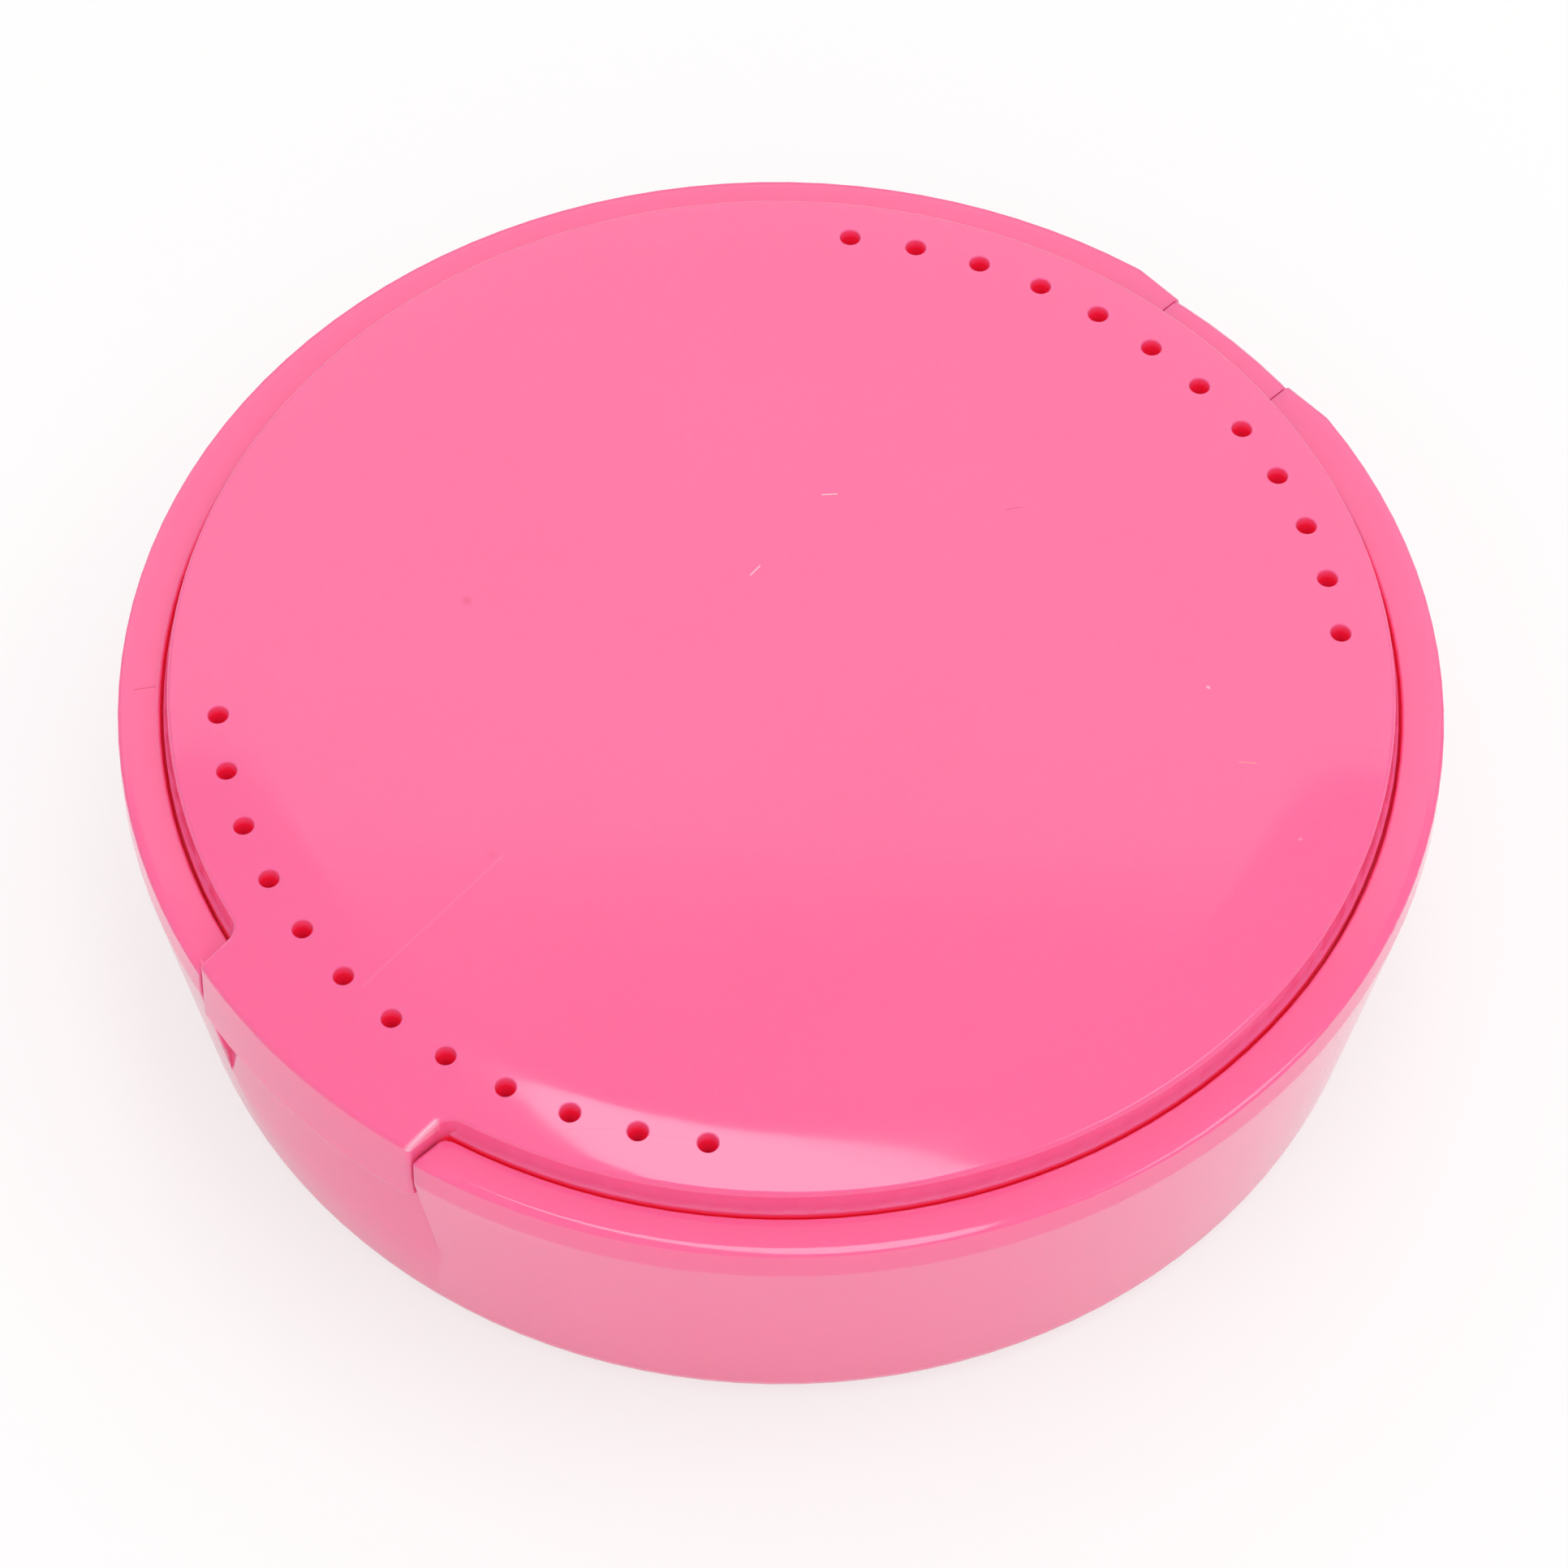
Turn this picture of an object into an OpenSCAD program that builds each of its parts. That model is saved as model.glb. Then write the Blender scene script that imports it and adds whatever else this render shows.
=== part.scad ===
// Round hinged retainer case: a moulded base with a seat for the lid in its collar, and a moulded lid
// that drops into the seat, snaps shut at the front and turns on a pin at the back.
// Millimetres. Z is up, the case stands on z = 0, the hinge is at +Y and the latch at -Y.

/* [Lid] */
// Radius of the lid's disc
lid_r = 38; // [30:0.1:50]
// Thickness of the lid's plate
lid_t = 1.8; // [1.2:0.1:2]
// Height of the lid's flat top above the collar
lid_rise = 2.4; // [2.2:0.1:3.2]
// Width of the rim over which the lid's top falls away from flat
crown_w = 6.5; // [4:0.1:10]
// Radius of the arc that the rim falls away on
crown_arc_r = 38; // [30:1:80]
// Radius of the disc's top edge
lid_edge = 0.45; // [0.1:0.05:0.8]
// Thickness of the skirt under the disc
skirt_t = 1.5; // [1.1:0.1:2]
// Radius between the skirt and the plate, inside
skirt_round = 0.7; // [0.2:0.1:1.2]

/* [Vents] */
// Radius of one vent hole at the top
vent_r = 0.68; // [0.4:0.02:1]
// Share of that radius that the vent narrows to at the underside of the plate
vent_taper = 0.6; // [0.5:0.05:0.9]
// Distance of the ring of vents from the inside of the skirt
vent_inset = 1.65; // [1.1:0.05:4]
// Number of vents in the front row and in the back row
vents_per_row = 12; // [4:1:18]
// Angle between two vents in a row
vent_pitch = 7.02; // [5:0.02:9]

/* [Collar] */
// Width of the collar's top, from the lid's seat to its outer edge
collar_w = 2.65; // [2.5:0.05:4]
// Height of the upright band round the collar
band_h = 2.3; // [1.2:0.1:4]
// Radius of the collar's outer top edge
collar_edge = 0.7; // [0.2:0.1:1]
// Depth of the lid's seat below the top of the collar
seat_depth = 1.9; // [1.4:0.1:2.4]
// Width of the ledge under the lid's skirt
ledge_w = 0.75; // [0.4:0.05:1.2]
// Gap all round between the lid and the collar
rim_gap = 0.45; // [0.25:0.05:0.6]
// Gap under the lid's skirt and under its tab
seat_gap = 0.3; // [0.1:0.05:0.5]

/* [Bowl] */
// Height of the base, from the table to the top of its collar
base_h = 22; // [20:0.5:34]
// Angle by which the wall leans out
wall_taper = 10.6; // [6:0.1:14]
// Thickness of the wall at the floor
wall_t = 2; // [1.4:0.1:3]
// Thickness of the floor
floor_t = 2; // [1.4:0.1:4]
// Radius of the rounded edge that the case stands on
foot_fillet = 3.1; // [1.5:0.1:4]
// Radius between the floor and the wall, inside
floor_fillet = 4; // [1:0.5:8]
// Width of the flat ring that touches the table
foot_ring_w = 3.5; // [2:0.1:8]
// Depth of the hollow inside the foot ring
foot_hollow = 0.6; // [0.2:0.1:1]

/* [Latch] */
// Width of the latch tab
tab_w = 18.6; // [12:0.1:24]
// Gap at each side of the tab
tab_gap = 0.25; // [0.2:0.05:0.5]
// Radius of the tab's outer top edge
tab_edge = 0.8; // [0.2:0.1:1]
// Radius of the corners between the tab and the disc
tab_corner_r = 1.2; // [0.8:0.1:2]
// Depth of the notch that the tab lies in, below the top of the collar
notch_depth = 1.3; // [0.8:0.1:1.6]
// How far the hook reaches below the top of the collar
hook_drop = 4.1; // [3.8:0.1:6]
// Thickness of the hook
hook_t = 1.45; // [1.2:0.05:1.6]
// Radius of the hook's lower edges and of the corner under the tab
hook_round = 0.4; // [0.1:0.05:0.6]
// Gap between the hook and the floor of the recess behind it
hook_gap = 0.5; // [0.4:0.02:0.6]
// Height of the bead along the inside of the hook
bead_h = 0.27; // [0.1:0.01:0.3]
// Half the width of the bead, and of the catch in the recess that it passes
bead_half_w = 0.4; // [0.3:0.05:0.45]
// Gap at which the bead passes the catch
snap_gap = 0.05; // [0.02:0.01:0.1]

/* [Hinge] */
// Width of the lid's knuckle
knuckle_w = 9.7; // [6:0.1:12]
// Radius of the knuckle's barrel
knuckle_r = 1.7; // [1.4:0.05:1.8]
// Radius of the knuckle's outer top edge
knuckle_edge = 0.6; // [0.3:0.1:0.9]
// Distance of the knuckle's outer face inside the collar's
knuckle_inset = 0.6; // [0.3:0.05:0.8]
// Gap at each end of the knuckle
knuckle_gap = 0.2; // [0.1:0.05:0.4]
// Length of the neck that ties the knuckle to the lid's plate
neck_len = 3; // [2:0.1:5]
// Distance of the flat behind the hinge ears inside the collar's outer edge
ear_inset = 0.77; // [0.5:0.01:0.85]
// Radius of the hinge pin
pin_r = 0.8; // [0.6:0.05:0.9]
// Length of the hinge pin
pin_len = 17.2; // [14:0.1:18]
// Radial clearance of the knuckle on the pin
pin_run = 0.06; // [0.02:0.01:0.1]
// Radial clearance of the pin in its two seats
pin_seat = 0.02; // [0.01:0.01:0.05]
// Width of the throat that each seat is open through, as a share of the seat's own width
throat = 0.8; // [0.6:0.05:0.9]
// Half the width over which the lid's skirt is left out in front of the hinge
relief_half_w = 17; // [16:0.5:22]
// Height of that part of the lid's edge above the collar
relief_gap = 0.3; // [0.2:0.05:0.5]

/* [Hidden] */
$fn = 96;

pink = [0.98, 0.46, 0.63];
steel = [0.78, 0.79, 0.8];
// Reach of a cut that passes right through the case, and of one that only has to break a face
far = 3 * lid_r;
over = 1;
// Added to a rounding arc so that it crosses the lines it rounds
ease = 0.002;
// Depth that one form is sunk into the round one it joins
sink = 0.06;

// Collar and bowl
seat_r = lid_r + rim_gap;
collar_r = seat_r + collar_w;
band_z = base_h - band_h;
foot_r = collar_r - band_z * tan(wall_taper);
floor_z = foot_hollow + floor_t;
floor_r = foot_r + floor_z * tan(wall_taper) - wall_t;
foot_flat_r = foot_r - foot_fillet / tan(45 + wall_taper / 2);
hollow_r = foot_flat_r - foot_ring_w;
ledge_z = base_h - seat_depth;
ledge_r = seat_r - ledge_w;

// Lid
top_z = base_h + lid_rise;
plate_z = top_z - lid_t;
skirt_z = ledge_z + seat_gap;
skirt_r = lid_r - skirt_t;
crown_flat_r = lid_r - crown_w;
crown_z = top_z - crown_arc_r;
vent_ring_r = skirt_r - vent_inset;

// Latch
tab_r = collar_r;
tab_half = tab_w / 2;
notch_half = tab_half + tab_gap;
notch_z = base_h - notch_depth;
tab_z = notch_z + seat_gap;
hook_z = base_h - hook_drop;
hook_in_r = tab_r - hook_t;
recess_r = hook_in_r - hook_gap;
catch_h = hook_gap - bead_h - snap_gap;
bead_z = hook_z + hook_round + bead_half_w + snap_gap;
catch_z = bead_z + 2 * bead_half_w + snap_gap;

// Hinge
knuckle_reach = collar_r - knuckle_inset;
ear_flat_y = collar_r - ear_inset;
axis_y = knuckle_reach - knuckle_r;
axis_z = base_h - knuckle_r;
slot_half = knuckle_w / 2 + knuckle_gap;
knuckle_sweep = (knuckle_r - knuckle_edge) * sqrt(2) + knuckle_edge;
slot_z = axis_z - knuckle_sweep - seat_gap;

function unit(v) = v / norm(v);

// Height of the lid's top at radius r, and the way it slopes there
function crown_height(r) = crown_z + sqrt(pow(crown_arc_r, 2) - pow(r - crown_flat_r, 2));
function crown_slope(r) = unit([crown_height(r) - crown_z, crown_flat_r - r]);

// The sliver between a corner at p, whose sides run along u and v, and the arc of radius r that
// rounds it. Taken away it rounds an outer corner, and added it fills an inner one.
module corner(p, u, v, r) {
    half = acos(u * v) / 2;
    run = r / tan(half);
    centre = p + unit(u + v) * r / sin(half);
    beyond = p + (p - centre);
    difference() {
        polygon([p + u * run, beyond, p + v * run, centre]);
        translate(centre) circle(r + ease);
    }
}

// A ridge with sloping sides on an upright face at radius r, standing out by h, or in where h < 0
module ridge(r, h, z) {
    root = r - sign(h) * hook_t / 2;
    polygon([[root, z - bead_half_w], [r, z - bead_half_w], [r + h, z - bead_half_w / 3],
             [r + h, z + bead_half_w / 3], [r, z + bead_half_w], [root, z + bead_half_w]]);
}

// A profile drawn in Y and Z, as a bar of width w across the case
module across(w) {
    rotate([90, 0, 90]) translate([0, 0, -w / 2]) linear_extrude(w) children();
}

// A strip to the front, seen from above, with rounded corners where it leaves a disc of radius r
module strip_to_front(half, r, corner_r) {
    reach = r + corner_r;
    x = half + corner_r;
    y = -sqrt(reach * reach - x * x);
    translate([-half, -far]) square([2 * half, far]);
    for (side = [-1, 1])
        difference() {
            polygon([[0, 0], [side * x, y] * r / reach, [side * x, y], [side * half, y]]);
            translate([side * x, y]) circle(corner_r + ease);
        }
}

// The base's outside: rounded foot, leaning wall, upright band and collar
module base_profile() {
    wall = unit([collar_r - foot_r, band_z]);
    difference() {
        polygon([[0, 0], [foot_r, 0], [collar_r, band_z], [collar_r, base_h], [0, base_h]]);
        corner([foot_r, 0], [-1, 0], wall, foot_fillet);
        corner([collar_r, base_h], [-1, 0], [0, -1], collar_edge);
    }
}

// The base's inside: the lid's seat, its ledge, and the bowl below
module cavity_profile() {
    wall = unit([ledge_r - floor_r, ledge_z - floor_z]);
    difference() {
        polygon([[0, floor_z], [floor_r, floor_z], [ledge_r, ledge_z], [seat_r, ledge_z],
                 [seat_r, base_h + over], [0, base_h + over]]);
        corner([floor_r, floor_z], [-1, 0], wall, floor_fillet);
    }
}

// The recess that the hook hangs in, which runs out where the leaning wall meets its floor
module hook_recess() {
    difference() {
        translate([-notch_half, -far, 0]) cube([2 * notch_half, far, base_h + over]);
        translate([0, 0, -over]) cylinder(r = recess_r, h = base_h + 3 * over);
    }
}

// The ridge across the recess that the hook's bead passes
module catch() {
    intersection() {
        rotate_extrude() ridge(recess_r, catch_h, catch_z);
        translate([-tab_half, -far, 0]) cube([tab_w, far, base_h]);
    }
}

// Seats for the pin's two ends, each open to the inside of the collar by a narrower throat
module pin_seats() {
    r = pin_r + pin_seat;
    across(pin_len + 2 * pin_seat) {
        translate([axis_y, axis_z]) circle(r);
        translate([axis_y - collar_w, axis_z - throat * r]) square([collar_w, 2 * throat * r]);
    }
}

// The flat behind the hinge ears, with its top edge rounded as the collar's is
module ear_flat() {
    translate([-far, ear_flat_y, -over]) cube([2 * far, far, base_h + 2 * over]);
    across(2 * far) corner([ear_flat_y, base_h], [-1, 0], [0, -1], collar_edge);
}

module base() {
    color(pink)
    difference() {
        union() {
            difference() {
                rotate_extrude() base_profile();
                hook_recess();
            }
            catch();
        }
        rotate_extrude() cavity_profile();
        translate([0, 0, -over]) cylinder(r = hollow_r, h = foot_hollow + over);
        translate([0, 0, notch_z])
            linear_extrude(base_h) strip_to_front(notch_half, seat_r, tab_corner_r - rim_gap);
        translate([-slot_half, 0, slot_z]) cube([2 * slot_half, far, base_h]);
        pin_seats();
        ear_flat();
    }
}

// Everything under the lid's top surface, out to radius r
module crown(r) {
    square([crown_flat_r, top_z]);
    intersection() {
        translate([crown_flat_r - over, 0]) square([r - crown_flat_r + over, top_z + over]);
        translate([crown_flat_r, crown_z + ease]) circle(crown_arc_r);
    }
}

// The disc and its skirt
module lid_profile() {
    difference() {
        crown(lid_r);
        difference() {
            translate([-over, -over]) square([skirt_r + over, plate_z + over]);
            corner([skirt_r, plate_z], [-1, 0], [0, -1], skirt_round);
        }
        square([lid_r + over, skirt_z]);
        corner([lid_r, crown_height(lid_r)], -crown_slope(lid_r), [0, -1], lid_edge);
    }
}

// The tab, its hook and the bead inside the hook
module tab_profile() {
    difference() {
        crown(tab_r);
        translate([-over, -over]) square([lid_r - skirt_t / 2 + over, top_z + 2 * over]);
        square([tab_r + over, hook_z]);
        difference() {
            square([hook_in_r, tab_z]);
            corner([hook_in_r, tab_z], [-1, 0], [0, -1], hook_round);
        }
        corner([tab_r, crown_height(tab_r)], -crown_slope(tab_r), [0, -1], tab_edge);
        corner([tab_r, hook_z], [-1, 0], [0, 1], hook_round);
        // A lead-in for the catch
        polygon([[hook_in_r - over, hook_z - over], [hook_in_r + hook_round + over, hook_z - over],
                 [hook_in_r - over, hook_z + hook_round + over]]);
    }
    ridge(hook_in_r, -bead_h, bead_z);
}

module tab() {
    intersection() {
        rotate_extrude() tab_profile();
        linear_extrude(far) strip_to_front(tab_half, lid_r, tab_corner_r);
    }
}

// The knuckle across the pin: a barrel with a flat top, and the neck that ties it to the plate
module knuckle_profile() {
    axis = [axis_y, axis_z];
    root = [skirt_r - neck_len, plate_z + lid_t / 4];
    pull = root - axis;
    turn = atan2(pull[1], pull[0]) + acos(knuckle_r / norm(pull));
    touch = axis + (knuckle_r - sink) * [cos(turn), sin(turn)];
    difference() {
        translate(axis - [knuckle_r, 0]) square([2 * knuckle_r, knuckle_r]);
        corner([knuckle_reach, base_h], [-1, 0], [0, -1], knuckle_edge);
    }
    intersection() {
        translate(axis) circle(knuckle_r);
        translate(axis - [far, far]) square([2 * far, far]);
    }
    polygon([root, [skirt_r, root[1]], [skirt_r, base_h], [axis_y, base_h], axis, touch]);
}

// Its outer face follows the collar, and its bore is straight
module knuckle() {
    intersection() {
        rotate_extrude() knuckle_profile();
        translate([-knuckle_w / 2, 0, 0]) cube([knuckle_w, far, far]);
    }
}

// One hole, tapered as a pin of the mould is, and straight below the plate where it meets the neck
module vent() {
    spread = vent_r * (1 - vent_taper) / lid_t;
    low_r = vent_r * vent_taper - spread * over;
    translate([0, 0, plate_z - over]) cylinder(r1 = low_r, r2 = vent_r + spread * over, h = lid_t + 2 * over);
    cylinder(r = low_r, h = plate_z);
}

module vents() {
    first = -vent_pitch * (vents_per_row - 1) / 2;
    for (row = [-90, 90], i = [0 : vents_per_row - 1])
        rotate(row + first + i * vent_pitch) translate([vent_ring_r, 0, 0]) vent();
}

module lid() {
    color(pink)
    difference() {
        union() {
            difference() {
                rotate_extrude() lid_profile();
                // The skirt is left out in front of the hinge, where it would swing into the ears
                translate([-relief_half_w, 0, 0]) cube([2 * relief_half_w, far, base_h + relief_gap]);
            }
            tab();
            knuckle();
        }
        vents();
        across(knuckle_w + over) translate([axis_y, axis_z]) circle(pin_r + pin_run);
    }
}

module hinge_pin() {
    color(steel) across(pin_len) translate([axis_y, axis_z]) circle(pin_r);
}

base();
lid();
hinge_pin();
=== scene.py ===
import math

import bmesh
import bpy
from mathutils import Matrix, Vector


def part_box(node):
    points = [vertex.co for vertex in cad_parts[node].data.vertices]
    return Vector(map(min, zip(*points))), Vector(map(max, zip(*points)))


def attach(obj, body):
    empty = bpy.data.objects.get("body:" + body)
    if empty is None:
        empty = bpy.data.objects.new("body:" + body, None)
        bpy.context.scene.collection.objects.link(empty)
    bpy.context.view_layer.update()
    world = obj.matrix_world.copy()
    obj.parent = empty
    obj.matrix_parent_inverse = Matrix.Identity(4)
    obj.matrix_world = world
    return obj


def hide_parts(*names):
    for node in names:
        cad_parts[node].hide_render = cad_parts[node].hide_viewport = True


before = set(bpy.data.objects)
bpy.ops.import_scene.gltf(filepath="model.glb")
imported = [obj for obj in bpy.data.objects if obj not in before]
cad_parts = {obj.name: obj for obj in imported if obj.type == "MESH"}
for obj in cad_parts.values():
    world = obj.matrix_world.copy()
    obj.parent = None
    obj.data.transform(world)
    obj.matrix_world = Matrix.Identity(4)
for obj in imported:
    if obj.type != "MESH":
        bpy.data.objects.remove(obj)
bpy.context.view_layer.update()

# Base: one moulding in glossy pink polypropylene, a shallow bowl whose wall leans out to a collar.
# The lid drops into a seat inside the collar. The bowl is turned from its profile, and the recess
# for the latch, the slot for the hinge and the seats for the pin are then cut into it.

# Pieces are drawn in millimetres and brought to metres when they are finished
MM = 0.001
base_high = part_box("base")[1] / MM
pin_low, pin_high = (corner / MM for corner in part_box("hinge_pin"))

collar_r = base_high.x
collar_top = base_high.z
collar_edge = 0.22
collar_land = 0.45
collar_fall = 0.13
collar_blend = 1.0
seat_r = collar_r - 2.65
seat_edge = 0.2
ledge_r = seat_r - 0.75
ledge_z = collar_top - 1.9
band_z = collar_top - 2.3
band_edge = 2
wall_lean = math.tan(math.radians(10.6))
wall_mid_z = 12
foot_r = collar_r - band_z * wall_lean
foot_round = 3.1
foot_ring_in = 31.34
foot_hollow = 0.6
floor_z = 2.6
floor_r = foot_r + floor_z * wall_lean - 2
floor_round = 4
inner_edge = 0.3

notch_half = 9.45
notch_z = collar_top - 1.3
notch_corner = 0.75
recess_r = collar_r - 1.95
catch_half = 9.3
catch_z = 19.6
catch_h = 0.18
ridge_half = 0.4
ridge_root = 0.6

axis_y = (pin_low.y + pin_high.y) / 2
axis_z = (pin_low.z + pin_high.z) / 2
pin_r = (pin_high.y - pin_low.y) / 2
pin_half = pin_high.x
pin_room = 0.02
throat_half = 0.8 * (pin_r + pin_room)
throat_y = seat_r - 3
slot_half = 4.92
slot_y = 10
slot_z = 17.84
ear_flat_y = base_high.y
ear_edge = 0.5
latch_edge = 0.22
slot_edge = 0.05

# The latch lies further forward than this, and the hinge further back
end_y = 30
# Facets round a turned piece, placed so that none falls beside a cut, and round a bar along the hinge
TURN_STEPS = 120
OUTLINE_STEPS = 160
HINGE_STEPS = 48
# How far a cutting tool stands past what it cuts, and how far two faces are kept from touching
PAST = 20
HAIR = 0.01


def pick(kind, test):
    """Selects the vertices, edges or faces of the mesh in edit mode that pass the test."""
    bpy.ops.mesh.select_mode(type=kind)
    bpy.ops.mesh.select_all(action="DESELECT")
    mesh = bpy.context.object.data
    drawn = bmesh.from_edit_mesh(mesh)
    for item in {"VERT": drawn.verts, "EDGE": drawn.edges, "FACE": drawn.faces}[kind]:
        if test(item):
            item.select_set(True)
    drawn.select_flush_mode()
    bmesh.update_edit_mesh(mesh)


def edit(piece):
    """Opens one piece in edit mode."""
    bpy.ops.object.select_all(action="DESELECT")
    piece.select_set(True)
    bpy.context.view_layer.objects.active = piece
    bpy.ops.object.mode_set(mode="EDIT")


def draw(name, corners, closed=False):
    """A line in the XZ plane, left in edit mode. A corner (x, z, r) is rounded to radius r."""
    bpy.ops.object.select_all(action="DESELECT")
    bpy.ops.mesh.primitive_plane_add(size=1)
    drawn = bpy.context.object
    drawn.name = name
    bpy.ops.object.mode_set(mode="EDIT")
    pick("VERT", lambda v: True)
    bpy.ops.mesh.merge(type="CENTER")
    at = Vector((0, 0, 0))
    for i, (x, z, r) in enumerate(corners):
        step = Vector((x, 0, z)) - at
        if i == 0:
            bpy.ops.transform.translate(value=step)
        else:
            bpy.ops.mesh.extrude_region_move(TRANSFORM_OT_translate={"value": step})
        at += step
    if closed:
        ends = [Vector((x, 0, z)) for x, z, r in (corners[0], corners[-1])]
        pick("VERT", lambda v: min((v.co - end).length for end in ends) < HAIR)
        bpy.ops.mesh.edge_face_add()
    for i, (x, z, r) in enumerate(corners):
        if r:
            here = Vector((x, z))
            before = Vector(corners[i - 1][:2]) - here
            after = Vector(corners[(i + 1) % len(corners)][:2]) - here
            run = r / math.tan(before.angle(after) / 2)
            pick("VERT", lambda v: (v.co - Vector((x, 0, z))).length < HAIR)
            bpy.ops.mesh.bevel(offset=run, segments=max(4, round(4 + 2 * r)), affect="VERTICES",
                               clamp_overlap=False)
    return drawn


def turned(name, corners, closed=False):
    """The solid that a profile makes when it is spun about Z."""
    piece = draw(name, corners, closed)
    bpy.ops.mesh.select_all(action="SELECT")
    bpy.ops.mesh.spin(steps=TURN_STEPS, angle=math.tau, center=(0, 0, 0), axis=(0, 0, 1))
    bpy.ops.mesh.select_all(action="SELECT")
    bpy.ops.mesh.remove_doubles(threshold=HAIR / 10)
    bpy.ops.mesh.normals_make_consistent(inside=False)
    bpy.ops.object.mode_set(mode="OBJECT")
    return piece


def block(name, low, high):
    """A tool with flat sides, from its lowest to its highest corner."""
    bpy.ops.object.select_all(action="DESELECT")
    middle = [(a + b) / 2 for a, b in zip(low, high)]
    bpy.ops.mesh.primitive_cube_add(size=1, location=middle, scale=[b - a for a, b in zip(low, high)])
    bpy.ops.object.transform_apply(location=True, rotation=True, scale=True)
    bpy.context.object.name = name
    return bpy.context.object


def rod(name, r, low_z, high_z, sides=TURN_STEPS):
    """An upright round bar about Z."""
    bpy.ops.object.select_all(action="DESELECT")
    bpy.ops.mesh.primitive_cylinder_add(vertices=sides, radius=r, depth=high_z - low_z,
                                        location=(0, 0, (low_z + high_z) / 2))
    bpy.ops.object.transform_apply(location=True, rotation=True, scale=True)
    bpy.context.object.name = name
    return bpy.context.object


def cross_rod(name, r, half):
    """A round bar along the hinge axis."""
    bpy.ops.object.select_all(action="DESELECT")
    bpy.ops.mesh.primitive_cylinder_add(vertices=HINGE_STEPS, radius=r, depth=2 * half,
                                        location=(0, axis_y, axis_z), rotation=(0, math.pi / 2, 0))
    bpy.ops.object.transform_apply(location=True, rotation=True, scale=True)
    bpy.context.object.name = name
    return bpy.context.object


def work(piece, tool, operation="DIFFERENCE"):
    """Cuts the tool out of the piece, or joins them or keeps what they share, and puts the tool away."""
    cut = piece.modifiers.new("cut", "BOOLEAN")
    cut.operation = operation
    cut.solver = "EXACT"
    cut.object = tool
    bpy.context.view_layer.objects.active = piece
    bpy.ops.object.modifier_apply(modifier=cut.name)
    bpy.data.objects.remove(tool)
    edit(piece)
    bpy.ops.mesh.select_all(action="SELECT")
    bpy.ops.mesh.remove_doubles(threshold=HAIR / 5)
    bpy.ops.object.mode_set(mode="OBJECT")


def soften(piece, test, width, segments=3):
    """Rounds the sharp outer edges whose two ends pass the test."""
    edit(piece)
    sharp = math.radians(25)
    pick("EDGE", lambda e: e.is_convex and e.calc_face_angle(0) > sharp and all(test(v.co) for v in e.verts))
    bpy.ops.mesh.bevel(offset=width, segments=segments, clamp_overlap=False)
    bpy.ops.object.mode_set(mode="OBJECT")


def fill_corners(piece, half, r, radius):
    """Rounds the two inner corners where a strip of that half width leaves a disc of radius r."""
    edit(piece)

    # The flat ends become one face each, or the rounding comes out twisted
    bpy.ops.mesh.select_all(action="SELECT")
    bpy.ops.mesh.dissolve_limited(angle_limit=math.radians(0.5))
    y = -math.sqrt(r ** 2 - half ** 2)
    run = radius / math.tan(math.pi / 4 + math.asin(half / r) / 2)
    pick("EDGE", lambda e: all(abs(abs(v.co.x) - half) < HAIR and abs(v.co.y - y) < 5 * HAIR
                               for v in e.verts))
    bpy.ops.mesh.bevel(offset=run, segments=8, clamp_overlap=False)
    bpy.ops.object.mode_set(mode="OBJECT")


def ridge(name, r, height, z, half):
    """A low ridge with sloping sides along the front of an upright round face."""
    root = r - math.copysign(ridge_root, height)
    piece = turned(name, [
        (root, z - ridge_half, 0),
        (r, z - ridge_half, 0),
        (r + height, z - ridge_half / 3, 0),
        (r + height, z + ridge_half / 3, 0),
        (r, z + ridge_half, 0),
        (root, z + ridge_half, 0),
    ], closed=True)
    work(piece, block("ridge_ends", (-half, -r - PAST, 0), (half, 0, z + PAST)), "INTERSECT")
    return piece


def finish_piece(piece, name, material):
    """Brings a drawn piece to metres, and shades its round stretches smooth."""
    bpy.ops.object.select_all(action="DESELECT")
    piece.select_set(True)
    bpy.context.view_layer.objects.active = piece
    piece.scale = (MM, MM, MM)
    bpy.ops.object.transform_apply(location=True, rotation=True, scale=True)
    bpy.ops.object.shade_smooth_by_angle(angle=math.radians(32))
    even = piece.modifiers.new("even", "WEIGHTED_NORMAL")
    even.keep_sharp = True
    bpy.ops.object.modifier_apply(modifier=even.name)
    piece.name = name
    piece.data.name = name
    piece.data.materials.clear()
    piece.data.materials.append(material)


def node(tree, kind, inputs=None, **settings):
    """A shader node with its settings, and each input given a value or another node's output."""
    made = tree.nodes.new(kind)
    for key, value in settings.items():
        setattr(made, key, value)
    for key, value in (inputs or {}).items():
        if isinstance(value, bpy.types.NodeSocket):
            tree.links.new(value, made.inputs[key])
        else:
            made.inputs[key].default_value = value
    return made


def tint(tree, share, under, over):
    """One colour laid over another by a share."""
    return node(tree, "ShaderNodeMix", {0: share, 6: under, 7: over}, data_type="RGBA").outputs[2]


def group(name, inputs, outputs):
    """An empty node group with its sockets, each named with its kind."""
    tree = bpy.data.node_groups.new(name, "ShaderNodeTree")
    for way, sockets in (("INPUT", inputs), ("OUTPUT", outputs)):
        for label, kind in sockets.items():
            tree.interface.new_socket(label, in_out=way, socket_type="NodeSocket" + kind)
    return tree, tree.nodes.new("NodeGroupInput").outputs, tree.nodes.new("NodeGroupOutput").inputs


def reckon(tree, operation, *values, **settings):
    """The result of a sum on numbers."""
    return node(tree, "ShaderNodeMath", dict(enumerate(values)), operation=operation, **settings).outputs[0]


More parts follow.
